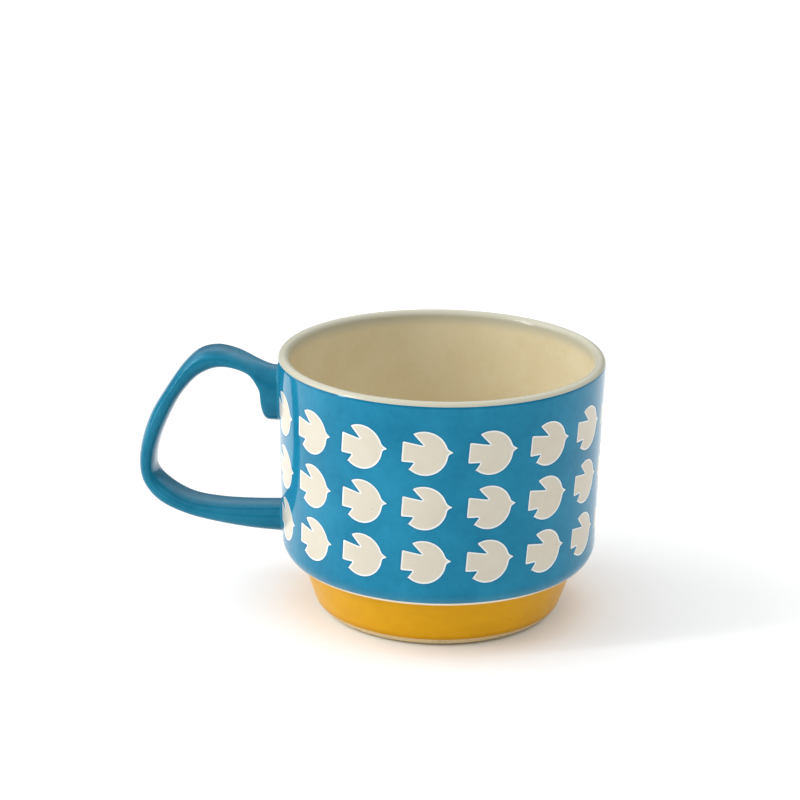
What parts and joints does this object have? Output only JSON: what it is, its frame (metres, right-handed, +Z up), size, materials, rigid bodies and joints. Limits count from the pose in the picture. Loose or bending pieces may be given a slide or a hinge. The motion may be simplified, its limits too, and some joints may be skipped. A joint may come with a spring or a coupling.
{
  "type": "stoneware mug",
  "caption": "Low glazed stoneware mug with a strap handle, a stepped-in foot for stacking and rows of birds reserved in the glaze.",
  "frame": {"origin": "on the cup's axis, in the plane that the foot ring stands on", "axes": "+Z up along the cup's axis; the handle points to -X; +Y completes the right-handed frame"},
  "size_m": [0.1292, 0.09, 0.073],
  "materials": {
    "bare_stoneware": "unglazed, fired, fine grained and matt",
    "blue_glaze": "glossy clear-coated teal blue",
    "cream_glaze": "glossy warm cream",
    "bird_glaze": "glossy cream reserved in the blue",
    "mustard_glaze": "semi-gloss mustard yellow"
  },
  "bodies": {
    "root": {"cup_clay": "bare_stoneware", "handle_clay": "bare_stoneware", "upper_slip": "blue_glaze", "lower_slip": "blue_glaze", "liner_glaze": "cream_glaze", "wall_glaze": "blue_glaze", "top_birds": "bird_glaze", "middle_birds": "bird_glaze", "lower_birds": "bird_glaze", "divider_glaze": "cream_glaze", "foot_glaze": "mustard_glaze", "recess_glaze": "cream_glaze", "handle_glaze": "blue_glaze"}
  },
  "joints": []
}
